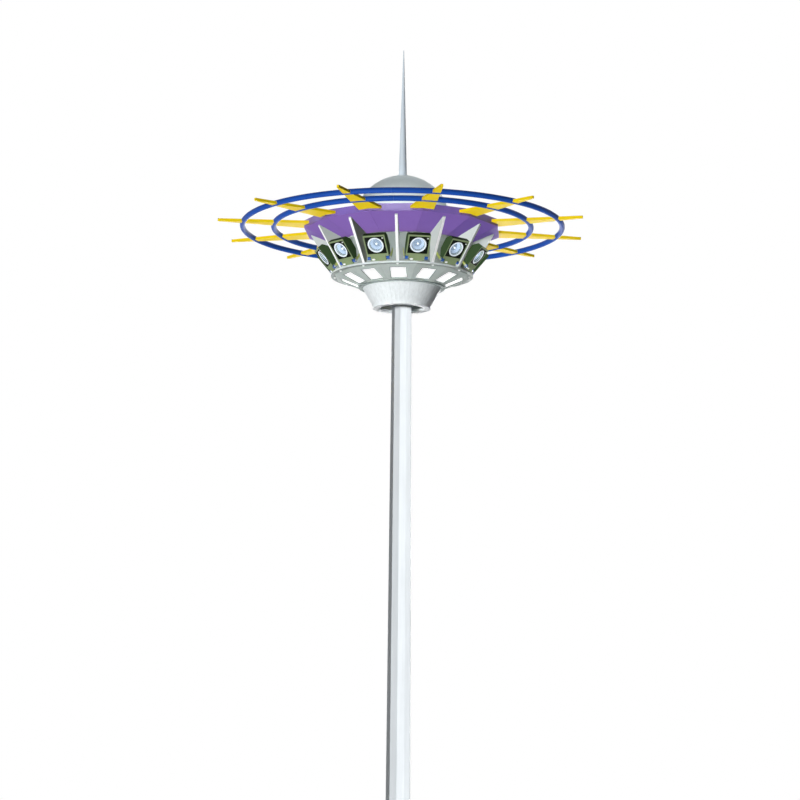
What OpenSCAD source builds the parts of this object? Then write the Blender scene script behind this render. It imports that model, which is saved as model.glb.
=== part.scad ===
// High mast floodlight tower: a tapered ten-sided mast, a fixed dome with a spire,
// and a twelve-bay lamp head that travels along the mast.
// Millimetres, +Z up, origin at the middle of the base flange's underside.

/* [Mast] */
// Height of the plane of the yellow arms above the ground
arms_z = 20000; // [16000:100:24000]
// Diameter of the mast across its corners at the arms
mast_top_d = 312; // [280:1:340]
// Growth of the mast's diameter for each metre further down
mast_taper = 9; // [7:0.5:11]
// Wall of both mast tubes
mast_wall = 8; // [6:1:12]
// Height of the lower end of the upper tube
joint_z = 9000; // [7000:100:11000]
// Length over which the upper tube covers the lower one
joint_overlap = 700; // [500:10:900]

/* [Base] */
// Outer diameter of the base flange
flange_d = 900; // [840:5:1000]
// Thickness of the base flange
flange_t = 40; // [30:1:60]
// Bolt circle of the anchor holes
anchor_pcd = 760; // [720:5:800]
// Diameter of one anchor hole
anchor_hole_d = 42; // [36:1:48]
// Diameter of the cable hole through the base flange
cable_hole_d = 260; // [200:5:300]
// Height of a gusset
gusset_h = 260; // [200:5:320]
// Thickness of a gusset
gusset_t = 16; // [10:1:24]
// Width of the hand hole
hatch_w = 110; // [90:1:116]
// Height of the hand hole
hatch_h = 500; // [400:5:600]
// Height of the hand hole's lower edge
hatch_z = 700; // [600:10:900]

/* [Dome] */
// Outer radius of the dome
dome_r = 795; // [760:5:850]
// Wall of the dome
dome_t = 10; // [6:1:16]
// Height of the spire from the dome to its tip
spire_h = 2150; // [1800:10:2500]
// Diameter of the spire's foot
spire_d = 135; // [110:1:160]

/* [Head] */
// Number of bays, each with a lamp, an arm, a fin and a window
bays = 12; // [12:1:12]
// Height of the rim above the plane of the arms
rim_up = 60; // [50:1:80]
// Depth of the rim below the plane of the arms
rim_down = 58; // [48:1:70]
// Radius to the corners of the drum behind the lamps
drum_r = 1087; // [1070:1:1100]
// Reach of the rim's corners beyond the drum's corners
rim_out = 540; // [500:1:580]
// Depth of the drum's upper edge below the arms
drum_top = 275; // [255:1:295]
// Depth of the platform's top below the arms
platform_top = 771; // [755:1:790]
// Thickness of the platform
platform_t = 30; // [24:1:40]
// Reach of the platform beyond the drum's corners
platform_ledge = 73; // [60:1:100]
// Thickness of the sheet panels
sheet_t = 8; // [6:1:12]
// Open seam between neighbouring panels
seam = 2; // [1:0.5:4]

/* [Skirt and bell] */
// Reach of the skirt's upper corners beyond the drum's corners
skirt_out = 23; // [10:1:38]
// Depth of the skirt's lower edge below the arms
skirt_bottom = 979; // [965:1:995]
// Inset of the skirt's lower corners from the flange ring's edge
skirt_inset = 10; // [4:1:24]
// Width of a skirt window
window_w = 270; // [220:1:275]
// Depth of the folded reveal round a skirt window
reveal_t = 14; // [10:1:40]
// Thickness of the flange ring under the skirt
ring_t = 14; // [10:1:30]
// Outer radius of the flange ring
ring_r = 700; // [680:1:730]
// Inset of the bell's shoulder from the flange ring's edge
bell_inset = 60; // [45:1:75]
// Radius of the bell's lower edge
bell_low_r = 471; // [455:1:490]
// Height of the bell without its lip
bell_h = 295; // [260:1:330]
// Height of the lip ring
lip_h = 38; // [30:1:46]
// Radius of the hole that the mast passes through
hole_r = 354; // [330:1:370]

/* [Arms and hoops] */
// Reach of an arm's tip beyond the middle of the outer hoop
arm_overhang = 421; // [300:1:520]
// Width of an arm at its root
arm_root_w = 380; // [340:1:420]
// Width of an arm at its tip
arm_tip_w = 36; // [24:1:60]
// Thickness of an arm
arm_t = 42; // [36:1:46]
// Tube diameter of the hoops
hoop_d = 89; // [80:1:100]
// Distance of the inner hoop from the rim's corners, at the middle of its tube
hoop_out = 478; // [400:1:560]
// Distance between the two hoops
hoop_spacing = 507; // [400:1:600]
// Rise of the hoops above the middle of the arms
hoop_rise = 10; // [0:1:12]

/* [Fins] */
// Thickness of a fin
fin_t = 44; // [36:1:48]
// Inset of a fin's upper outer corner from the rim's sides
fin_inset = 74; // [40:1:90]
// Depth of a fin's foot on the platform
fin_foot = 43; // [30:1:60]

/* [Floodlights] */
// Width of a floodlight
lamp_w = 362; // [340:1:370]
// Height of a floodlight's front face
lamp_h = 454; // [440:1:470]
// Angle of the front face's normal below the horizontal
lamp_tilt = 40; // [36:1:44]
// Diameter of the lens
lens_d = 260; // [240:1:280]
// Width of the square recess round the lens
recess_w = 323; // [300:1:326]
// Height of the square recess round the lens
recess_h = 300; // [285:1:305]
// Depth of the recess
recess_t = 24; // [16:1:30]
// Height of the front tray under the recess
tray_h = 126; // [116:1:130]
// Radius of the pivot pin
pin_r = 14; // [10:1:18]
// Clearance between a pivot pin and its bore
pin_gap = 0.1; // [0.05:0.05:0.2]
// Gap between a floodlight and its bracket straps
strap_gap = 6; // [5:1:10]
// Thickness of a bracket strap
strap_t = 8; // [6:1:10]
// Width of a bracket strap
strap_w = 36; // [30:1:44]
// Diameter of the pivot knob between a strap and the floodlight's foot
knob_d = 58; // [48:1:64]
// Width of the floodlight's foot between its two pivot knobs
foot_w = 250; // [220:1:270]
// Radius of the reflector bowl's mouth
bowl_r = 112; // [100:1:116]
// Radius of the reflector bowl's floor
bowl_floor_r = 78; // [60:1:90]
// Depth of the reflector bowl behind the recess
bowl_t = 66; // [50:1:76]

/* [Hidden] */

$fn = 96;
eps = 0.01;
seat_gap = 0.3;
bay = 360 / bays;
half_bay = bay / 2;
mast_sides = 10;
bell_staves = 48;
hoop_fn = 180;

// Inner width of a regular polygon's ring: from a corner radius to the middle of a side
function apothem(corner_r, n = bays) = corner_r * cos(180 / n);
function two(k) = k < 10 ? str("0", k) : str(k);

// Mast: corner diameter of the upper tube at a height, and of the lower tube inside it
function mast_d(z) = mast_top_d + mast_taper * (arms_z - z) / 1000;
wall_across = 2 * mast_wall / cos(180 / mast_sides);
fit_gap = 0.4;
function lower_d(z) = mast_d(z) - wall_across - fit_gap;
function lower_a(z) = apothem(lower_d(z) / 2, mast_sides);

// Levels of the head
roof_t = sheet_t;
roof_drop = 12;
roof_top = arms_z + rim_up - roof_drop;
dock_t = 22;
dock_z = roof_top + seat_gap + dock_t;
head_plate_z = dock_z + seat_gap;
head_plate_t = 20;
dome_z = head_plate_z + head_plate_t + seat_gap;
mast_foot_z = flange_t + seat_gap;
mast_top_z = head_plate_z - seat_gap;
roof_hole_r = 420;
dock_w = 90;

rim_r = drum_r + rim_out;
rim_a = apothem(rim_r);
drum_a = apothem(drum_r);
rim_low_z = arms_z - rim_down;
drum_top_z = arms_z - drum_top;
platform_z = arms_z - platform_top;
platform_low_z = platform_z - platform_t;
platform_lap = 60;
platform_in_r = drum_r - platform_lap;
platform_r = drum_r + platform_ledge;

// Skirt, flange ring, bell and lip, one under the other
skirt_r = drum_r + skirt_out;
skirt_low_r = ring_r - skirt_inset;
bell_r = ring_r - bell_inset;
ring_lap = 60;
shoulder = 26;
skirt_low_z = arms_z - skirt_bottom;
ring_low_z = skirt_low_z - ring_t;
bell_top_z = ring_low_z - seat_gap;
bell_low_z = bell_top_z - bell_h;
lip_low_z = bell_low_z - seat_gap - lip_h;

// Hoops and arms, one beyond the other
inner_hoop_r = rim_r + hoop_out;
outer_hoop_r = inner_hoop_r + hoop_spacing;
arm_tip_r = outer_hoop_r + arm_overhang;

// Floodlight frame: drawn as radius and height in a plane through the axis,
// u runs up the front face from its lower edge, w runs inward from the face
lamp_ahead = 44;
lamp_lift = 14;
lamp_foot = [drum_r + lamp_ahead, platform_z + lamp_lift];
lamp_up = [sin(lamp_tilt), cos(lamp_tilt)];
lamp_in = [-cos(lamp_tilt), sin(lamp_tilt)];
function lamp_at(u, w) = lamp_foot + u * lamp_up + w * lamp_in;
pivot_up = 44;
pivot_in = 22;
pivot = lamp_at(pivot_up, pivot_in);
lens_up = tray_h + recess_h / 2;
roof_w = 85;
roof_fall = 80;
back_w = 147;
back_up = 190;
heel_back = 20;
heel_up = 66;
strap_y = lamp_w / 2 + strap_gap;
strap_back = 100;
strap_rise = 135;
pin_reach = 20;
bore_play = 4;
knuckle_r = 30;
notch_play = 6;
notch_h = pivot_up + knob_d / 2 + notch_play;

// A flat or bent sheet panel, one of n round the axis: outer line as [radius at mid panel, height]
module stave(line, t, n = bays, gap = seam) {
    m = len(line);
    k = tan(180 / n);
    corner = [for (p = line) for (c = [[0, -1], [0, 1], [1, 1], [1, -1]])
        [p[0] - c[0] * t, c[1] * ((p[0] - c[0] * t) * k - gap / 2), p[1]]];
    sides = [for (i = [0 : m - 2]) for (j = [0 : 3])
        [4 * i + j, 4 * i + (j + 1) % 4, 4 * i + 4 + (j + 1) % 4, 4 * i + 4 + j]];
    ends = [[3, 2, 1, 0], [4 * m - 4, 4 * m - 3, 4 * m - 2, 4 * m - 1]];
    polyhedron(corner, concat(sides, ends));
}

// Copies turned to the middle of each bay's panel, and to each arm
module at_panels(n = bays) {
    for (k = [0 : n - 1]) rotate(k * 360 / n + 180 / n) children();
}
module at_arms() {
    for (k = [0 : bays - 1]) rotate(k * bay) children();
}

// A flat ring, cut into one segment for each bay
module ring_segments(r_in, r_out, z, h) {
    step = asin(seam / r_out);
    for (k = [0 : bays - 1])
        rotate(k * bay + step / 2) rotate_extrude(angle = bay - step) translate([r_in, z]) square([r_out - r_in, h]);
}

// A plate cut from an outline of radius and height, standing in a plane through the axis
module radial_plate(outline, t, y = 0) {
    translate([0, y + t / 2, 0]) rotate([90, 0, 0]) linear_extrude(t) polygon(outline);
}

// A round bar along a floodlight's pivot axis, between two places across the bay
module cross_pin(r, from, to) {
    translate([pivot[0], min(from, to), pivot[1]]) rotate([-90, 0, 0]) cylinder(r = r, h = abs(to - from));
}

module base_flange() color("silver") {
    difference() {
        cylinder(d = flange_d, h = flange_t);
        translate([0, 0, -eps]) cylinder(d = cable_hole_d, h = flange_t + 2 * eps);
        for (k = [0 : mast_sides - 1])
            rotate(k * 360 / mast_sides) translate([anchor_pcd / 2, 0, -eps])
                cylinder(d = anchor_hole_d, h = flange_t + 2 * eps);
    }
}

module base_gussets() color("silver") {
    toe = 30;
    foot_r = flange_d / 2 - 12;
    top_z = mast_foot_z + gusset_h;
    low_a = lower_a(mast_foot_z) + seat_gap;
    high_a = lower_a(top_z) + seat_gap;
    for (k = [0 : mast_sides - 1]) rotate((k + 0.5) * 360 / mast_sides)
        radial_plate([[low_a, mast_foot_z], [foot_r, mast_foot_z], [foot_r, mast_foot_z + toe],
                      [high_a + toe, top_z], [high_a, top_z]], gusset_t);
}

module mast_tube(z0, z1, d0, d1) {
    translate([0, 0, z0]) difference() {
        cylinder(d1 = d0, d2 = d1, h = z1 - z0, $fn = mast_sides);
        translate([0, 0, -eps])
            cylinder(d1 = d0 - wall_across, d2 = d1 - wall_across, h = z1 - z0 + 2 * eps, $fn = mast_sides);
    }
}

module mast_lower() color("gainsboro") {
    top_z = joint_z + joint_overlap;
    difference() {
        mast_tube(mast_foot_z, top_z, lower_d(mast_foot_z), lower_d(top_z));
        rotate(hatch_turn) translate([0, -hatch_w / 2, hatch_z]) cube([flange_d, hatch_w, hatch_h]);
    }
}

module mast_upper() color("gainsboro") {
    mast_tube(joint_z, mast_top_z, mast_d(joint_z), mast_d(mast_top_z));
}

hatch_turn = 180 / mast_sides + 2 * 360 / mast_sides;
module access_cover() color("silver") {
    border = 12;
    cover_t = 6;
    low_z = hatch_z - border;
    high_z = hatch_z + hatch_h + border;
    low_a = lower_a(low_z) + seat_gap;
    high_a = lower_a(high_z) + seat_gap;
    rotate(hatch_turn)
        radial_plate([[low_a, low_z], [low_a + cover_t, low_z], [high_a + cover_t, high_z], [high_a, high_z]],
                     hatch_w + 2 * border);
}

module mast_head_plate() color("dimgray") {
    translate([0, 0, head_plate_z]) cylinder(r = dome_r, h = head_plate_t);
}

module dome() color("lightsteelblue") {
    translate([0, 0, dome_z]) difference() {
        sphere(r = dome_r);
        sphere(r = dome_r - dome_t);
        translate([0, 0, -dome_r]) cube([3 * dome_r, 3 * dome_r, 2 * dome_r], center = true);
    }
}

module spire() color("lightgray") {
    collar_r = spire_d / 2 + 25;
    collar_t = 16;
    sink = dome_r - sqrt(dome_r * dome_r - collar_r * collar_r);
    top_z = dome_z + dome_r;
    difference() {
        union() {
            translate([0, 0, top_z - sink]) cylinder(r = collar_r, h = collar_t + sink);
            translate([0, 0, top_z]) cylinder(d1 = spire_d, d2 = 12, h = spire_h);
        }
        translate([0, 0, dome_z]) sphere(r = dome_r + seat_gap);
    }
}

module roof_deck() color("slategray") {
    edge_a = rim_a - sheet_t - seat_gap;
    at_panels() stave([[edge_a, roof_top - roof_t], [edge_a, roof_top]], edge_a - apothem(roof_hole_r));
}

module docking_ring() color("dimgray") {
    ring_segments(roof_hole_r, roof_hole_r + dock_w, dock_z - dock_t, dock_t);
}

module rim_band() color("mediumpurple") {
    at_panels() stave([[rim_a, rim_low_z], [rim_a, arms_z + rim_up]], sheet_t);
}

module dish_panels() color("mediumpurple") {
    slope = atan2(drum_top - rim_down, rim_a - drum_a);
    at_panels() stave([[drum_a, drum_top_z], [rim_a, rim_low_z - seat_gap]], sheet_t / sin(slope));
}

module drum_wall() color("darkgray") {
    at_panels() stave([[drum_a, platform_z + seat_gap], [drum_a, drum_top_z - seat_gap]], sheet_t);
}

module platform_ring() color("gainsboro") {
    ring_segments(platform_in_r, platform_r, platform_low_z, platform_t);
}

// Skirt line, its slope, and the frame of one window on it
skirt_a = apothem(skirt_r);
skirt_low_a = apothem(skirt_low_r);
skirt_foot_z = skirt_low_z + seat_gap;
skirt_rise = platform_low_z - seat_gap - skirt_foot_z;
skirt_slope = atan2(skirt_rise - sheet_t, skirt_a - skirt_low_a);
skirt_len = (skirt_rise - sheet_t * cos(skirt_slope)) / sin(skirt_slope);
window_from = 0.12;
window_to = 0.85;
pane_t = 6;
fold_t = 5;

// Places a child with its X along the skirt, uphill, and its Z along the inward normal
module on_skirt() {
    translate([skirt_low_a, 0, skirt_foot_z]) rotate([0, -skirt_slope, 0]) children();
}

// Outline of a window, grown by a margin on all sides
module window_outline(margin) {
    translate([window_from * skirt_len - margin, -window_w / 2 - margin])
        square([(window_to - window_from) * skirt_len + 2 * margin, window_w + 2 * margin]);
}

module skirt_panels() color("lightgray") {
    low_half = skirt_low_a * tan(half_bay) - seam / 2;
    high_half = skirt_a * tan(half_bay) - seam / 2;
    at_panels() on_skirt() {
        linear_extrude(sheet_t) difference() {
            polygon([[0, -low_half], [skirt_len, -high_half], [skirt_len, high_half], [0, low_half]]);
            window_outline(0);
        }
        linear_extrude(reveal_t) difference() {
            window_outline(fold_t);
            window_outline(0);
        }
    }
}

module window_panels() color("white") {
    at_panels() on_skirt() translate([0, 0, reveal_t + seat_gap]) linear_extrude(pane_t) window_outline(fold_t);
}

module skirt_flange() color("gray") {
    ring_segments(bell_r - ring_lap, ring_r, ring_low_z, ring_t);
}

// The funnel round the mast: upright staves with a rounded shoulder under the flange ring
module bell() color("white") {
    low_a = apothem(bell_low_r, bell_staves);
    high_a = apothem(bell_r, bell_staves);
    flare = (high_a - low_a) / bell_h;
    at_panels(bell_staves)
        stave([[low_a, bell_low_z], [high_a - shoulder * flare, bell_top_z - shoulder],
               [high_a, bell_top_z - shoulder / 3], [high_a - shoulder / 6, bell_top_z]], sheet_t, bell_staves);
}

module bell_ring() color("gainsboro") {
    ring_segments(hole_r, bell_low_r, lip_low_z, lip_h);
}

module fins() color("whitesmoke") {
    fall = (drum_top - rim_down) / (rim_a - drum_a);
    fin_r = rim_a - fin_inset;
    tip_z = rim_low_z - fin_inset * fall - seat_gap;
    nose = 18;
    foot_z = platform_z + seat_gap;
    at_panels() radial_plate([[drum_a + seat_gap, foot_z], [drum_a + fin_foot, foot_z], [fin_r, tip_z - nose],
                              [fin_r, tip_z], [drum_a + seat_gap, drum_top_z - seat_gap]], fin_t);
}

// One arm, notched at its root to sit on the rim's corner, or its shape grown by a play on all sides
module arm_blade(play = 0) {
    root_half = arm_root_w / 2 + play;
    tip_half = arm_tip_w / 2 + play;
    corner_r = rim_r + seat_gap;
    root_r = corner_r - root_half * tan(half_bay);
    t = arm_t + 2 * play;
    translate([0, 0, arms_z - t / 2]) linear_extrude(t)
        polygon([[corner_r, 0], [root_r, -root_half], [arm_tip_r, -tip_half],
                 [arm_tip_r, tip_half], [root_r, root_half]]);
}

module arms() color("gold") {
    at_arms() arm_blade();
}

// One hoop: a tube segment at each arm, slotted where the arm passes through it
module hoop(r) {
    step = asin(seam / r);
    at_arms() difference() {
        rotate(step / 2 - half_bay) rotate_extrude(angle = bay - step, $fn = hoop_fn)
            translate([r, arms_z + hoop_rise]) circle(d = hoop_d);
        arm_blade(seat_gap);
    }
}

module outer_ring() color("royalblue") hoop(outer_hoop_r);

module inner_ring() color("royalblue") hoop(inner_hoop_r);

// The two straps of each stirrup run from the pivot pin up to the drum
module lamp_brackets() color("darkkhaki") {
    past_wall = 1.4;
    run = [-strap_back, strap_rise];
    side_step = strap_w / 2 * [run[1], -run[0]] / norm(run);
    at_arms() for (side = [-1, 1]) {
        difference() {
            union() {
                radial_plate([pivot - side_step, pivot + side_step, pivot + past_wall * run + side_step,
                              pivot + past_wall * run - side_step], strap_t, side * (strap_y + strap_t / 2));
                cross_pin(strap_w / 2, side * strap_y, side * (strap_y + strap_t));
            }
            translate([0, 0, platform_z]) cylinder(r = drum_r + seat_gap, h = platform_top, $fn = bays);
        }
        cross_pin(pin_r, side * (foot_w / 2 - pin_reach), side * (strap_y + strap_t / 2));
    }
}

// A sleeve on each pivot pin, with chamfered ends, that fills the notch between foot and strap
module pivot_knobs() color("royalblue") {
    chamfer = 4;
    from = foot_w / 2 + notch_play;
    to = strap_y - seat_gap;
    half = knob_d / 2;
    inner = pin_r + seat_gap;
    at_arms() for (side = [-1, 1])
        translate([pivot[0], side * from, pivot[1]]) rotate([-side * 90, 0, 0])
            rotate_extrude() polygon([[inner, 0], [half - chamfer, 0], [half, chamfer], [half, to - from - chamfer],
                                      [half - chamfer, to - from], [inner, to - from]]);
}

// Places a child on the front face at a height: its X points out of the face, its Z up the face
module on_face(u) {
    at = lamp_at(u, 0);
    translate([at[0], 0, at[1]]) rotate([0, lamp_tilt, 0]) children();
}

// Housing: front face, sloping top, chamfer, back that clears the drum, and a round foot
// between two notches for the pivot knobs; the face has a square recess and a reflector bowl
module floodlight(k) color("darkolivegreen") {
    bore_depth = pin_reach + bore_play;
    ridge = lamp_at(lamp_h, roof_w);
    back_top = lamp_at(lamp_h - roof_fall, back_w);
    back_low = lamp_at(back_up, back_w);
    heel = pivot + [-heel_back, heel_up];
    reach = 2 * back_w;
    rotate(k * bay - 90) difference() {
        union() {
            radial_plate([lamp_foot, lamp_at(lamp_h, 0), ridge, back_top, back_low, heel], lamp_w);
            cross_pin(knuckle_r, 1 - foot_w / 2, foot_w / 2 - 1);
        }
        on_face(lens_up) translate([-recess_t, -recess_w / 2, -recess_h / 2]) cube([2 * recess_t, recess_w, recess_h]);
        on_face(lens_up) translate([-recess_t - bowl_t, 0, 0]) rotate([0, 90, 0])
            cylinder(h = bowl_t + eps, r1 = bowl_floor_r, r2 = bowl_r);
        for (side = [-1, 1]) {
            on_face(notch_h) translate([-reach, side > 0 ? foot_w / 2 : -lamp_w, -reach])
                cube([2 * reach, lamp_w - foot_w / 2, reach]);
            cross_pin(pin_r + pin_gap, side * (foot_w / 2 - bore_depth), side * (foot_w / 2 + eps));
        }
    }
}

module lens(k) color("lightcyan") {
    glass_t = 14;
    seat = lamp_at(lens_up, recess_t - seat_gap);
    rotate(k * bay - 90) translate([seat[0], 0, seat[1]]) rotate([0, 90 + lamp_tilt, 0])
        cylinder(d = lens_d, h = glass_t);
}

base_flange();
base_gussets();
mast_lower();
mast_upper();
access_cover();
mast_head_plate();
dome();
spire();
roof_deck();
docking_ring();
rim_band();
dish_panels();
drum_wall();
platform_ring();
skirt_panels();
window_panels();
skirt_flange();
bell();
bell_ring();
fins();
arms();
outer_ring();
inner_ring();
lamp_brackets();
pivot_knobs();
for (k = [1 : bays]) {
    floodlight(k);
    lens(k);
}
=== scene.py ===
"""Looks of the high mast floodlight tower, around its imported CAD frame. Metres, +Z up."""
import math

import bmesh
import bpy
from mathutils import Matrix, Vector


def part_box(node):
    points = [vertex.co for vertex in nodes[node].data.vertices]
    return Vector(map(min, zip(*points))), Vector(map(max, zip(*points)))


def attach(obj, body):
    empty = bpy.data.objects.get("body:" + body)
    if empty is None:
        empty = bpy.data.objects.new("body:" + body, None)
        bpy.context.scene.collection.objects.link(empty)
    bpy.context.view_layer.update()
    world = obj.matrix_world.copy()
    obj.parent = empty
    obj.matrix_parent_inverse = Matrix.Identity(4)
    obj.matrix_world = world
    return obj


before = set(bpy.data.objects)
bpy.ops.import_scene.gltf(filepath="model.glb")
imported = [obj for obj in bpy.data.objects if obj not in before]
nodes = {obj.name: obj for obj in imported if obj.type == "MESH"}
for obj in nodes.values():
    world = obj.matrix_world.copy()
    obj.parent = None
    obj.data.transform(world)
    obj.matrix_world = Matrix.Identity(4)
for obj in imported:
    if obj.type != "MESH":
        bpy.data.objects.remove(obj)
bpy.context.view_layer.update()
scene = bpy.context.scene
scene.view_settings.view_transform = "Standard"

# Layout of the head, twelve bays round the mast
BAYS = 12
BAY = 2 * math.pi / BAYS
LAMPS = [f"{k:02d}" for k in range(1, BAYS + 1)]
LAMP_TILT = math.radians(40)
ARMS_Z = (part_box("arms")[0].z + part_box("arms")[1].z) / 2

# Gap that keeps added pieces off the faces they lie on
GAP = 0.0005

# Floodlight front, from the lens axis and the plane of the frame
GLASS_R = 0.130
GLASS_T = 0.014
GLASS_BACK = 0.0237
RECESS = (0.323, 0.300, 0.024)
LENS_UP = 0.276
BOWL_R = 0.110
BOWL_FLOOR_R = 0.064
BOWL_FLOOR = -0.087
BOWL_CURVE = 1.5
BOWL_STEPS = 8
BOWL_WALL = 0.0015
RING_R = 0.120
RING_HALF = 0.011
RING_RISE = 0.008
RING_STEPS = 8
RING_SEAT = 0.0003
BULB_FOOT = BOWL_FLOOR + 0.0008
BULB = [(0.0005, -0.036), (0.009, -0.038), (0.015, -0.044), (0.017, -0.052), (0.014, -0.061),
        (0.008, -0.067), (0.008, BULB_FOOT), (0.0005, BULB_FOOT)]
BEZEL_FACE = -0.004
BEZEL_PLAY = 0.001
BEZEL_STEPS = 64
TRAY_W = 0.246
TRAY_T = 0.009
TRAY_BASE = 0.0002
TRAY_UP = (0.004, 0.060, 0.118)
PLUG = (-0.081, -0.246, TRAY_T)
PLUG_SIZE = (0.029, 0.010)
PLUG_SQUASH = 0.55
CATCH = (0.139, 0.120, BEZEL_FACE)
CATCH_SIZE = (0.026, 0.018, 0.006)

# Openings of the skirt windows: foot of the slope, opening along and across it, and frame widths
SKIRT_FOOT_R = 0.6665
SKIRT_SLOPE = math.radians(22.66)
WINDOW_FROM = 0.0530
WINDOW_TO = 0.3751
WINDOW_W = 0.270
REVEAL = (0.002, 0.0138)
FRAME_SIDE = 0.013
FRAME_TOP = 0.026
FRAME_FOOT = 0.005

# Pivots of the floodlights, and the outside of their straps
PIVOT_R = 1.1424
PIVOT_Z = ARMS_Z - 0.7092
STRAP_FACE = 0.195

# Sides of the mast, and how far each leans inward for every metre of height
MAST_SIDES = 10
MAST_FALL = 0.00428

# Fixings, by radius and height, and how far they stand in from an edge
ANCHOR_R = 0.380
ANCHOR_NUT = (0.0346, 0.038)
ANCHOR_LOCKNUT = (0.0346, 0.026)
ANCHOR_STUD = [(0.0195, -0.036), (0.0195, 0.080), (0.0165, 0.084)]
FOOT_WELD = [(0.011, 0.0), (0.009, 0.005), (-0.001, 0.012)]
COVER_SCREW = (0.0055, 0.004)
COVER_SCREW_INSET = 0.006
COVER_SCREW_SHARES = (0.03, 0.35, 0.65, 0.97)
PLATFORM_NUT = (0.0215, 0.018)
PLATFORM_NUT_INSET = 0.058
FLANGE_BOLT = (0.010, 0.008)
FLANGE_BOLT_INSET = 0.028
STRAP_BOLT = (0.015, 0.011)
COLLAR_BOLT = (0.0085, 0.008)
COLLAR_BOLT_INSET = 0.012
COLLAR_BOLTS = 6
COLLAR_T = 0.016

# Camera at the photograph's viewing angle
VIEW_AZIMUTH = math.radians(-11.2)
VIEW_DISTANCE = 33.42
VIEW_DROP = 7.638
VIEW_SIDE = -0.0167
VIEW_PITCH = math.radians(8.19)
VIEW_ROLL = math.radians(0.45)
VIEW_CLIP = 200
LENS_MM = 93.78
SENSOR_MM = 36.0

# A sun of this strength lights a facing surface to its own colour
SUN_UNIT = math.pi

# Weak even light from all round, and the floor
AMBIENT = 0.04
AMBIENT_TINT = (0.94, 0.97, 1.0, 1.0)
FLOOR_R = 30
FLOOR_STEPS = 96
FLOOR_DROP = 0.002

# Colour sockets of a Mix node, and the height of a normal below which a face looks down and takes a second
# colour of painted shading
MIX_A = 6
MIX_B = 7
MIX_RESULT = 2
LOOKS_DOWN = -0.3

# Added pieces that ride on the floodlights and share their lamps
lamp_pieces = []


def srgb(r, g, b):
    """Linear colour from 8-bit sRGB values."""
    def lin(v):
        v /= 255
        return v / 12.92 if v <= 0.04045 else ((v + 0.055) / 1.055) ** 2.4
    return (lin(r), lin(g), lin(b), 1.0)


FRONT_OLIVE = srgb(127, 143, 106)


# Camera, background and lights

def add_camera():
    """A camera below the head, looking up at it as the photograph does."""
    data = bpy.data.cameras.new("camera")
    data.lens = LENS_MM
    data.sensor_width = SENSOR_MM
    data.clip_end = VIEW_CLIP
    camera = bpy.data.objects.new("camera", data)
    scene.collection.objects.link(camera)
    turn = Matrix.Rotation(VIEW_AZIMUTH, 4, "Z")
    place = turn @ Vector((VIEW_SIDE, -VIEW_DISTANCE, ARMS_Z - VIEW_DROP))
    aim = Matrix.Rotation(math.pi / 2 + VIEW_PITCH, 4, "X") @ Matrix.Rotation(VIEW_ROLL, 4, "Z")
    camera.matrix_world = Matrix.Translation(place) @ turn @ aim
    scene.camera = camera


def add_world():
    """White behind the object and in its reflections, and a weak even light on its surfaces."""
    world = bpy.data.worlds.new("world")
    world.use_nodes = True
    tree = world.node_tree
    light = tree.nodes["Background"]
    light.inputs["Color"].default_value = AMBIENT_TINT
    light.inputs["Strength"].default_value = AMBIENT
    white = tree.nodes.new("ShaderNodeBackground")
    white.inputs["Color"].default_value = (1.0, 1.0, 1.0, 1.0)
    white.inputs["Strength"].default_value = 1.0
    path = tree.nodes.new("ShaderNodeLightPath")
    seen = path.outputs["Is Camera Ray"]
    for name in ("Is Glossy Ray", "Is Transmission Ray"):
        either = tree.nodes.new("ShaderNodeMath")
        either.operation = "MAXIMUM"
        tree.links.new(seen, either.inputs[0])
        tree.links.new(path.outputs[name], either.inputs[1])
        seen = either.outputs[0]
    mix = tree.nodes.new("ShaderNodeMixShader")
    tree.links.new(seen, mix.inputs[0])
    tree.links.new(light.outputs[0], mix.inputs[1])
    tree.links.new(white.outputs[0], mix.inputs[2])
    tree.links.new(mix.outputs[0], tree.nodes["World Output"].inputs["Surface"])
    scene.world = world


def link_group(name, objects, state):
    """A light-linking group of objects that a lamp reaches, or leaves out."""
    group = bpy.data.collections.new(name)
    for obj in objects:
        group.objects.link(obj)
    for link in group.collection_objects:
        link.light_linking.link_state = state
    return group


def add_sun(name, level, right_deg, up_deg, softness_deg, only=None, leave=None, tint=(1.0, 1.0, 1.0)):
    """A far lamp, placed by its angle to the right of the camera and above the horizon.

    It lights only some objects, or leaves some out."""
    data = bpy.data.lights.new(name, "SUN")
    data.energy = level * SUN_UNIT
    data.angle = math.radians(softness_deg)
    data.color = tint
    sun = bpy.data.objects.new(name, data)
    scene.collection.objects.link(sun)
    turn = Matrix.Rotation(VIEW_AZIMUTH + math.radians(right_deg), 4, "Z")
    tip = Matrix.Rotation(math.pi / 2 - math.radians(up_deg), 4, "X")
    sun.matrix_world = turn @ tip
    if only:
        sun.light_linking.receiver_collection = link_group(name + "_only", only, "INCLUDE")
    if leave:
        sun.light_linking.receiver_collection = link_group(name + "_leave", leave, "EXCLUDE")
    return sun


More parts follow.
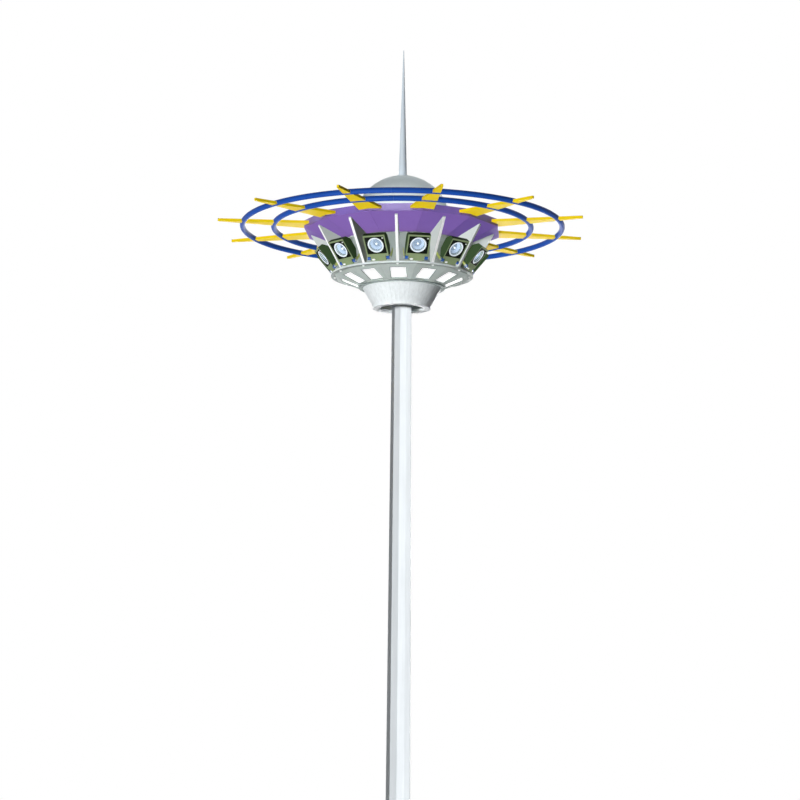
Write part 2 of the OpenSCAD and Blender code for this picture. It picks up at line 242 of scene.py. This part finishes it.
def add_lights():
    """A low key from the camera's left, keys of their own for some parts, and soft light from behind.

    Each lamp has its level, its angles to the right and up, and its softness."""
    def parts(*names):
        return [nodes[name] for name in names]

    mast = parts("mast_lower", "mast_upper")
    funnel = parts("bell", "bell_ring")
    dome, windows, dish, rim = parts("dome", "window_panels", "dish_panels", "rim_band")
    drum, fins = parts("drum_wall", "fins")
    lamps = parts(*[f"floodlight_{n}" for n in LAMPS], *[f"lens_{n}" for n in LAMPS]) + lamp_pieces
    stirrups = parts("lamp_brackets", "pivot_knobs")
    small = parts("arms", "outer_ring", "inner_ring") + stirrups + lamps
    no_shadow = link_group("no_shadow", small + parts("fins", "platform_ring"), "EXCLUDE")
    key = add_sun("key", 1.12, -28, -10, 20, leave=mast + funnel + [dome, windows, fins] + small)
    fin_key = add_sun("fin_key", 1.17, -32, -10, 20, only=[fins])
    low_key = add_sun("low_key", 1.2, -26, -40, 20, only=small)
    dish_below = add_sun("dish_below", 0.5, 0, -88, 30, only=[dish], tint=(0.45, 0.5, 1.0))
    back_low = add_sun("back_low", 0.7, 168, -20, 30, only=lamps + [drum] + stirrups)
    for sun in (key, fin_key, low_key, dish_below, back_low):
        sun.light_linking.blocker_collection = no_shadow
    skirt = parts("skirt_panels", "skirt_flange", "platform_ring")
    add_sun("skirt_below", 0.42, 0, -88, 30, only=skirt)
    add_sun("funnel_key", 1.08, -25, -10, 20, only=funnel)
    add_sun("mast_key", 1.05, 20, 0, 12, only=mast)
    dome_key = add_sun("dome_key", 1.8, -10, -45, 20, only=[dome])
    dome_key.data.use_shadow = False
    add_sun("dome_fill", 0.12, 25, 55, 20, only=[dome], tint=(0.82, 1.0, 1.1))
    add_sun("rim_shine", 0.35, -8, 14, 20, only=[rim])
    add_sun("top", 0.4, 180, 86, 30, leave=lamps)
    add_sun("back", 0.85, 176, 6, 30)


# Materials

def new_node(tree, kind, **values):
    """A shader node with its sockets and settings filled in by name."""
    node = tree.nodes.new(kind)
    for name, value in values.items():
        socket = name.replace("_", " ")
        if socket in node.inputs:
            node.inputs[socket].default_value = value
        else:
            setattr(node, name, value)
    return node


def paint(name, colour, roughness, spread=0.06, patch=2.2, streak=0.0, streak_scale=(9.0, 9.0, 0.55),
          grain=0.02, grain_scale=160.0, metallic=0.0, gloss=0.08, down_shading_colour=None):
    """Painted sheet metal: soft patches, streaks down the object and a fine orange-peel grain.

    Faces that look down can take a second colour, which paints shade: the floodlights' sides and top,
    the fins' sides and the platform's underside are painted darker than the other faces of their paint."""
    mat = bpy.data.materials.new(name)
    mat.use_nodes = True
    tree = mat.node_tree
    shader = tree.nodes["Principled BSDF"]
    shader.inputs["Metallic"].default_value = metallic
    shader.inputs["Specular IOR Level"].default_value = gloss
    coords = new_node(tree, "ShaderNodeTexCoord")
    where = coords.outputs["Object"]

    patches = new_node(tree, "ShaderNodeTexNoise", Scale=patch, Detail=4.0, Roughness=0.6)
    tree.links.new(where, patches.inputs["Vector"])
    stretch = new_node(tree, "ShaderNodeMapping", Scale=streak_scale)
    tree.links.new(where, stretch.inputs["Vector"])
    streaks = new_node(tree, "ShaderNodeTexNoise", Scale=1.0, Detail=5.0, Roughness=0.65)
    tree.links.new(stretch.outputs["Vector"], streaks.inputs["Vector"])

    tone = new_node(tree, "ShaderNodeMapRange", From_Min=0.3, From_Max=0.7,
                    To_Min=1 - spread, To_Max=1 + spread / 2)
    tree.links.new(patches.outputs["Fac"], tone.inputs["Value"])
    run = new_node(tree, "ShaderNodeMapRange", From_Min=0.4, From_Max=0.7, To_Min=1.0, To_Max=1 - streak)
    tree.links.new(streaks.outputs["Fac"], run.inputs["Value"])
    both = new_node(tree, "ShaderNodeMath", operation="MULTIPLY")
    tree.links.new(tone.outputs["Result"], both.inputs[0])
    tree.links.new(run.outputs["Result"], both.inputs[1])
    tint = new_node(tree, "ShaderNodeVectorMath", operation="SCALE")
    tint.inputs[0].default_value = colour[:3]
    # Faces that look down take the second colour: painted light and shade by the way a face looks
    if down_shading_colour:
        facing = new_node(tree, "ShaderNodeSeparateXYZ")
        tree.links.new(coords.outputs["Normal"], facing.inputs[0])
        down = new_node(tree, "ShaderNodeMath", operation="LESS_THAN")
        down.inputs[1].default_value = LOOKS_DOWN
        tree.links.new(facing.outputs["Z"], down.inputs[0])
        shading_tones = new_node(tree, "ShaderNodeMix", data_type="RGBA")
        shading_tones.inputs[MIX_A].default_value = colour
        shading_tones.inputs[MIX_B].default_value = down_shading_colour
        tree.links.new(down.outputs[0], shading_tones.inputs["Factor"])
        tree.links.new(shading_tones.outputs[MIX_RESULT], tint.inputs[0])
    tree.links.new(both.outputs[0], tint.inputs["Scale"])
    tree.links.new(tint.outputs["Vector"], shader.inputs["Base Color"])

    wear = new_node(tree, "ShaderNodeMapRange", To_Min=max(0.05, roughness - 0.08),
                    To_Max=min(1.0, roughness + 0.1))
    tree.links.new(patches.outputs["Fac"], wear.inputs["Value"])
    tree.links.new(wear.outputs["Result"], shader.inputs["Roughness"])

    peel = new_node(tree, "ShaderNodeTexNoise", Scale=grain_scale, Detail=2.0)
    tree.links.new(where, peel.inputs["Vector"])
    bump = new_node(tree, "ShaderNodeBump", Strength=grain, Distance=0.01)
    tree.links.new(peel.outputs["Fac"], bump.inputs["Height"])
    tree.links.new(bump.outputs["Normal"], shader.inputs["Normal"])
    return mat


def clear_glass(name, colour, alpha):
    """Thin glass, seen through by its alpha."""
    mat = bpy.data.materials.new(name)
    mat.use_nodes = True
    shader = mat.node_tree.nodes["Principled BSDF"]
    shader.inputs["Base Color"].default_value = colour
    shader.inputs["Alpha"].default_value = alpha
    shader.inputs["Roughness"].default_value = 0.06
    return mat


def glow(mat, level):
    """Lets a finish shine white by itself: painted light on the windows, a painted highlight on the bulbs,
    and an even brightness for the floor.
    """
    shader = mat.node_tree.nodes["Principled BSDF"]
    shader.inputs["Emission Color"].default_value = (1.0, 1.0, 1.0, 1.0)
    shader.inputs["Emission Strength"].default_value = level
    return mat


def dress(mat, *names):
    """Gives a finish to CAD nodes."""
    for name in names:
        slots = nodes[name].data.materials
        slots.clear()
        slots.append(mat)


# Building blocks for the added pieces

def piece(name, mesh, mat, body, place=None):
    """A new object from a finished bmesh, placed, riding on a body and tied to a finish.

    It is too small to matter as a shade for the far lamps."""
    data = bpy.data.meshes.new(name)
    bmesh.ops.recalc_face_normals(mesh, faces=mesh.faces)
    mesh.to_mesh(data)
    mesh.free()
    data.materials.append(mat)
    obj = bpy.data.objects.new(name, data)
    scene.collection.objects.link(obj)
    if place is not None:
        obj.matrix_world = place
    obj.visible_shadow = False
    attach(obj, body)
    if body.startswith("lamp_"):
        lamp_pieces.append(obj)


def lathe(mesh, profile, steps):
    """Revolves a closed profile of (radius, height) points about local Z."""
    rings = []
    for i in range(steps):
        a = 2 * math.pi * i / steps
        rings.append([mesh.verts.new((r * math.cos(a), r * math.sin(a), z)) for r, z in profile])
    for i in range(steps):
        here, there = rings[i], rings[(i + 1) % steps]
        for j in range(len(profile)):
            k = (j + 1) % len(profile)
            mesh.faces.new((here[j], there[j], there[k], here[k])).smooth = True


def tower(mesh, rows):
    """Closes rows of points, one above the other, into a solid."""
    mesh.faces.new(rows[0][::-1])
    mesh.faces.new(rows[-1])
    for low, high in zip(rows, rows[1:]):
        for i in range(len(low)):
            j = (i + 1) % len(low)
            mesh.faces.new((low[i], low[j], high[j], high[i]))


def stack(mesh, sides, levels, place=Matrix()):
    """A solid through regular outlines, given as (radius, height) levels up local Z."""
    turns = [2 * math.pi * i / sides for i in range(sides)]
    rows = []
    for radius, z in levels:
        spots = [Vector((radius * math.cos(t), radius * math.sin(t), z)) for t in turns]
        rows.append([mesh.verts.new(place @ spot) for spot in spots])
    tower(mesh, rows)


def hex_head(mesh, radius, height, place):
    """A hexagon nut or bolt head with a chamfered top, on a washer."""
    washer_r = radius * 1.15
    washer_t = height * 0.2
    edge = height * 0.85
    crown_r = radius * 0.86
    stack(mesh, 24, [(washer_r, 0), (washer_r, washer_t)], place)
    stack(mesh, 6, [(radius, washer_t), (radius, edge), (crown_r, height)], place)


def button(mesh, radius, height, place, squash=1.0):
    """A round-headed fastener on local Z, or an oval one when squashed along local Y."""
    steps, rings = 16, 5
    shape = place @ Matrix.Diagonal((1.0, squash, 1.0, 1.0))
    turns = [2 * math.pi * j / steps for j in range(steps)]
    rows = []
    for i in range(rings):
        a = math.pi / 2 * i / rings
        r, z = radius * math.cos(a), height * math.sin(a)
        rows.append([mesh.verts.new(shape @ Vector((r * math.cos(t), r * math.sin(t), z))) for t in turns])
    tip = mesh.verts.new(shape @ Vector((0, 0, height)))
    mesh.faces.new(rows[0][::-1])
    for low, high in zip(rows, rows[1:]):
        for j in range(steps):
            k = (j + 1) % steps
            mesh.faces.new((low[j], low[k], high[k], high[j])).smooth = True
    for j in range(steps):
        mesh.faces.new((rows[-1][j], rows[-1][(j + 1) % steps], tip)).smooth = True


def block(mesh, size, place):
    """A box with chamfered top edges standing on local Z = 0."""
    cut = min(size) * 0.2
    x, y, z = size[0] / 2, size[1] / 2, size[2]
    corners = ((1, 1), (-1, 1), (-1, -1), (1, -1))
    rows = []
    for w, d, h in ((x, y, 0), (x, y, z - cut), (x - cut, y - cut, z)):
        rows.append([mesh.verts.new(place @ Vector((sx * w, sy * d, h))) for sx, sy in corners])
    tower(mesh, rows)


def round_mast(angle, radius, z):
    """A frame at a place round the mast, with X outward."""
    return Matrix.Rotation(angle, 4, "Z") @ Matrix.Translation((radius, 0, z))


# Floodlight fronts

def lamp_front(number):
    """Frame on a floodlight's face: origin on the lens axis, X across, Y up the face, Z outward."""
    low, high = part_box(f"lens_{number}")
    centre = (low + high) / 2
    face = GLASS_BACK - GLASS_T / 2
    turned = Matrix.Rotation(int(number) * BAY, 4, "Z") @ Matrix.Rotation(math.pi / 2 + LAMP_TILT, 4, "X")
    return Matrix.Translation(centre) @ turned @ Matrix.Translation((0, 0, face))


def bezel(mesh):
    """Black plate that fills the square recess round the lens."""
    half = (RECESS[0] / 2 - BEZEL_PLAY, RECESS[1] / 2 - BEZEL_PLAY)
    hole = GLASS_R + 2 * BEZEL_PLAY
    low, high = -RECESS[2] + GAP, BEZEL_FACE
    inner, outer = [], []
    for i in range(BEZEL_STEPS):
        a = 2 * math.pi * (i + 0.5) / BEZEL_STEPS
        c, s = math.cos(a), math.sin(a)
        reach = min(half[0] / abs(c), half[1] / abs(s))
        inner.append([(c * hole, s * hole, z) for z in (low, high)])
        outer.append([(c * reach, s * reach, z) for z in (low, high)])
    grid = [[mesh.verts.new(p[0]) for p in inner], [mesh.verts.new(p[1]) for p in inner],
            [mesh.verts.new(p[1]) for p in outer], [mesh.verts.new(p[0]) for p in outer]]
    for j in range(4):
        one, two = grid[j], grid[(j + 1) % 4]
        for i in range(BEZEL_STEPS):
            k = (i + 1) % BEZEL_STEPS
            mesh.faces.new((one[i], one[k], two[k], two[i]))


def tray_cover(mesh):
    """Plate over the foot of the front, thinning out towards the bezel."""
    foot, bend, head = TRAY_UP
    outline = [(foot, TRAY_BASE), (foot, TRAY_T), (bend, TRAY_T), (head, GAP), (head, TRAY_BASE)]
    ends = []
    for x in (-TRAY_W / 2, TRAY_W / 2):
        ends.append([mesh.verts.new((x, up - LENS_UP, out)) for up, out in outline])
    mesh.faces.new(ends[0])
    mesh.faces.new(ends[1][::-1])
    for i in range(len(outline)):
        j = (i + 1) % len(outline)
        mesh.faces.new((ends[0][i], ends[1][i], ends[1][j], ends[0][j]))


def add_lamp_fronts():
    """Bezel, lens ring, reflector with its lamp, and the fittings on the front of each floodlight."""
    black = paint("bezel_black", srgb(6, 12, 6), 0.6, spread=0.2, gloss=0.05)
    olive = paint("tray_olive", FRONT_OLIVE, 0.55, spread=0.10, grain=0.05, gloss=0.04)
    white = paint("plug_white", srgb(250, 252, 254), 0.3, spread=0.01)
    pale = paint("ring_pale", srgb(236, 244, 252), 0.3, spread=0.02)
    mirror = paint("reflector_blue", srgb(176, 197, 224), 0.25, spread=0.03, grain=0.06, grain_scale=60.0)
    steel = paint("socket_steel", srgb(100, 122, 146), 0.45, spread=0.05)
    # The bulb glows a little as a painted highlight; the floodlights give no light.
    bulb_white = glow(paint("bulb_white", srgb(255, 255, 255), 0.2, spread=0.0), 0.35)
    catch_grey = paint("catch_grey", srgb(206, 212, 208), 0.4, spread=0.04, metallic=0.3)

    mouth = -RECESS[2] - GAP
    bowl = []
    for i in range(BOWL_STEPS + 1):
        share = i / BOWL_STEPS
        r = BOWL_R + (BOWL_FLOOR_R - BOWL_R) * share ** BOWL_CURVE
        bowl.append((r, mouth + (BOWL_FLOOR - mouth) * share))
    bowl += [(r + BOWL_WALL, z - GAP) for r, z in reversed(bowl)]
    ring = []
    for i in range(RING_STEPS + 1):
        a = math.pi * i / RING_STEPS
        z = -GLASS_BACK + GLASS_T + RING_SEAT + RING_RISE * math.sin(a)
        ring.append((RING_R + RING_HALF * math.cos(a), z))
    socket = [(BOWL_FLOOR_R, BOWL_FLOOR - 2 * GAP), (BOWL_FLOOR_R, BOWL_FLOOR + GAP)]
    plug_place = Matrix.Translation(PLUG)
    catch_place = Matrix.Translation(CATCH)
    fittings = {
        "bezel": (black, "olive_paint", bezel),
        "lens_ring": (pale, "white_paint", lambda mesh: lathe(mesh, ring, 64)),
        "reflector": (mirror, "lens_glass", lambda mesh: lathe(mesh, bowl, 48)),
        "socket": (steel, "galvanised", lambda mesh: stack(mesh, 48, socket)),
        "bulb": (bulb_white, "window_white", lambda mesh: lathe(mesh, BULB, 24)),
        "tray": (olive, "olive_paint", tray_cover),
        "drain_plug": (white, "white_paint",
                       lambda mesh: button(mesh, *PLUG_SIZE, plug_place, PLUG_SQUASH)),
        "catch": (catch_grey, "galvanised", lambda mesh: block(mesh, CATCH_SIZE, catch_place)),
    }
    for n in LAMPS:
        front = lamp_front(n)
        for kind, (mat, slot, build) in fittings.items():
            mesh = bmesh.new()
            build(mesh)
            piece(f"{kind}_{n}", mesh, mat, f"lamp_{n}", front)


# Window frames

def add_window_frames():
    """A frame round each opal window, set into the opening of the skirt."""
    grey = paint("frame_grey", srgb(160, 170, 166), 0.55, spread=0.04)
    foot_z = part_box("skirt_panels")[0].z
    half = WINDOW_W / 2 - GAP
    foot, head = WINDOW_FROM + GAP, WINDOW_TO - GAP
    outer = [(foot, -half), (head, -half), (head, half), (foot, half)]
    near, far, side = WINDOW_FROM + FRAME_FOOT, WINDOW_TO - FRAME_TOP, half - FRAME_SIDE
    inner = [(near, -side), (far, -side), (far, side), (near, side)]
    rings = [(outer, REVEAL[0]), (outer, REVEAL[1]), (inner, REVEAL[1]), (inner, REVEAL[0])]
    mesh = bmesh.new()
    for k in range(BAYS):
        place = round_mast((k + 0.5) * BAY, SKIRT_FOOT_R, foot_z) @ Matrix.Rotation(-SKIRT_SLOPE, 4, "Y")
        rows = [[mesh.verts.new(place @ Vector((x, y, z))) for x, y in ring] for ring, z in rings]
        for one, two in zip(rows, rows[1:] + rows[:1]):
            for i in range(4):
                j = (i + 1) % 4
                mesh.faces.new((one[i], one[j], two[j], two[i]))
    piece("window_frames", mesh, grey, "head")


# Fasteners and welds

def add_anchors():
    """Anchor studs with nuts round the mast foot, and the weld on the base flange."""
    zinc = paint("anchor_zinc", srgb(150, 157, 160), 0.4, spread=0.12, patch=40.0, metallic=0.5)
    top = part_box("base_flange")[1].z
    mesh = bmesh.new()
    for k in range(MAST_SIDES):
        place = round_mast(k * 2 * math.pi / MAST_SIDES, ANCHOR_R, top)
        hex_head(mesh, *ANCHOR_NUT, place)
        hex_head(mesh, *ANCHOR_LOCKNUT, place @ Matrix.Translation((0, 0, ANCHOR_NUT[1])))
        stack(mesh, 20, ANCHOR_STUD, place)
    piece("anchor_bolts", mesh, zinc, "mast")
    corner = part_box("mast_lower")[1].x
    mesh = bmesh.new()
    stack(mesh, MAST_SIDES, [(corner + out, top + up) for out, up in FOOT_WELD])
    piece("foot_weld", mesh, zinc, "mast")


def add_cover_screws():
    """Screws along both edges of the cover over the hand hole."""
    zinc = paint("screw_zinc", srgb(176, 182, 186), 0.35, spread=0.08, patch=60.0, metallic=0.6)
    low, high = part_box("access_cover")
    facing = Matrix.Rotation(-math.pi / 2, 4, "X")
    mesh = bmesh.new()
    for x in (low.x + COVER_SCREW_INSET, high.x - COVER_SCREW_INSET):
        for share in COVER_SCREW_SHARES:
            z = low.z + share * (high.z - low.z)
            y = high.y - MAST_FALL * (z - low.z) - GAP
            button(mesh, *COVER_SCREW, Matrix.Translation((x, y, z)) @ facing)
    piece("cover_screws", mesh, zinc, "mast")


def add_head_bolts():
    """Round nuts under the platform's edge, bolts under the flange ring and on the lamp straps."""
    white = paint("nut_white", srgb(250, 252, 252), 0.35, spread=0.01)
    zinc = paint("bolt_zinc", srgb(168, 174, 176), 0.4, spread=0.08, patch=60.0, metallic=0.5)
    upside_down = Matrix.Rotation(math.pi, 4, "X")
    low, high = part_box("platform_ring")
    mesh = bmesh.new()
    for k in range(BAYS):
        spot = round_mast((k + 0.5) * BAY, high.x - PLATFORM_NUT_INSET, low.z)
        button(mesh, *PLATFORM_NUT, spot @ upside_down)
    piece("platform_nuts", mesh, white, "head")
    low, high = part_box("skirt_flange")
    mesh = bmesh.new()
    for k in range(2 * BAYS):
        spot = round_mast((k + 0.5) * BAY / 2, high.x - FLANGE_BOLT_INSET, low.z)
        hex_head(mesh, *FLANGE_BOLT, spot @ upside_down)
    piece("flange_bolts", mesh, zinc, "head")
    mesh = bmesh.new()
    for k in range(BAYS):
        turned = Matrix.Rotation(k * BAY, 4, "Z")
        for side in (-1, 1):
            spot = Matrix.Translation((PIVOT_R, side * STRAP_FACE, PIVOT_Z))
            hex_head(mesh, *STRAP_BOLT, turned @ spot @ Matrix.Rotation(-side * math.pi / 2, 4, "X"))
    piece("strap_bolts", mesh, zinc, "head")


def add_crown_bolts():
    """Bolts through the spire's collar."""
    zinc = paint("collar_zinc", srgb(168, 174, 176), 0.4, spread=0.08, patch=60.0, metallic=0.5)
    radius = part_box("spire")[1].x - COLLAR_BOLT_INSET
    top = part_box("dome")[1].z + COLLAR_T
    mesh = bmesh.new()
    for k in range(COLLAR_BOLTS):
        hex_head(mesh, *COLLAR_BOLT, round_mast(k * 2 * math.pi / COLLAR_BOLTS, radius, top))
    piece("collar_bolts", mesh, zinc, "mast")


dress(paint("mast_steel", srgb(240, 246, 250), 0.55, spread=0.04, patch=0.9, streak=0.08, gloss=0.04),
      "mast_lower", "mast_upper")
dress(paint("galvanised", srgb(168, 174, 176), 0.5, spread=0.14, patch=14.0, metallic=0.4),
      "base_flange", "base_gussets", "access_cover", "mast_head_plate", "docking_ring")
dress(paint("dome_grey", srgb(228, 236, 236), 0.5, spread=0.03, streak=0.04), "dome")
dress(paint("spire_grey", srgb(196, 207, 216), 0.4, streak=0.08), "spire")
dress(paint("panel_grey", srgb(178, 187, 183), 0.55, streak=0.06), "skirt_panels", "roof_deck")
dress(paint("drum_grey", srgb(150, 160, 157), 0.55, streak=0.06), "drum_wall")
dress(paint("flange_grey", srgb(146, 158, 154), 0.5), "skirt_flange")
dress(paint("purple_paint", srgb(142, 107, 170), 0.6, spread=0.05), "dish_panels")
# The rim band's purple is the dish's purple painted darker, as painted shade.
dress(paint("rim_purple", srgb(102, 78, 152), 0.35, spread=0.05, gloss=0.5), "rim_band")
# The fins' sides are painted grey as shade; their outer edges, which look down, are white.
dress(paint("fin_white", srgb(194, 201, 200), 0.5, spread=0.02, down_shading_colour=srgb(250, 252, 253)), "fins")
dress(paint("bell_white", srgb(240, 246, 248), 0.4, spread=0.03, streak=0.12,
            streak_scale=(26.0, 26.0, 0.8), gloss=0.04), "bell", "bell_ring")
# The platform's underside is painted darker as shade.
dress(paint("platform_paint", srgb(208, 217, 219), 0.45, spread=0.04, down_shading_colour=srgb(140, 150, 146)),
      "platform_ring")
# The windows glow white as painted light.
dress(glow(paint("window_white", srgb(252, 252, 252), 0.3, spread=0.01), 0.95), "window_panels")
dress(paint("yellow_paint", srgb(242, 211, 18), 0.5, spread=0.06), "arms")
dress(paint("blue_paint", srgb(27, 75, 163), 0.5, spread=0.08), "outer_ring", "inner_ring")
dress(paint("knob_blue", srgb(30, 82, 168), 0.25, spread=0.08, gloss=0.5), "pivot_knobs")
dress(paint("zinc_strap", srgb(176, 188, 104), 0.45), "lamp_brackets")
# The floodlights' sides and top are painted dark olive as shade; their fronts, which look down, take the
# front olive.
dress(paint("olive_paint", srgb(62, 84, 54), 0.55, spread=0.10, grain=0.05, gloss=0.04,
            down_shading_colour=FRONT_OLIVE), *[f"floodlight_{n}" for n in LAMPS])
dress(clear_glass("lens_glass", srgb(220, 236, 246), 0.14), *[f"lens_{n}" for n in LAMPS])
add_lamp_fronts()
add_window_frames()
add_anchors()
add_cover_screws()
add_head_bolts()
add_crown_bolts()
add_camera()
add_world()
add_lights()

# The floor, which like some large faces of the head gives no bounce light
bpy.ops.mesh.primitive_circle_add(vertices=FLOOR_STEPS, radius=FLOOR_R, fill_type="NGON",
                                  location=(0, 0, -FLOOR_DROP))
floor = bpy.context.object
floor.name = "floor"
floor.visible_shadow = False
for silent in (floor, nodes["fins"], nodes["dish_panels"], nodes["drum_wall"]):
    silent.visible_diffuse = False
floor.data.materials.append(glow(paint("floor_pale", srgb(236, 238, 240), 0.9, spread=0.02), 0.4))
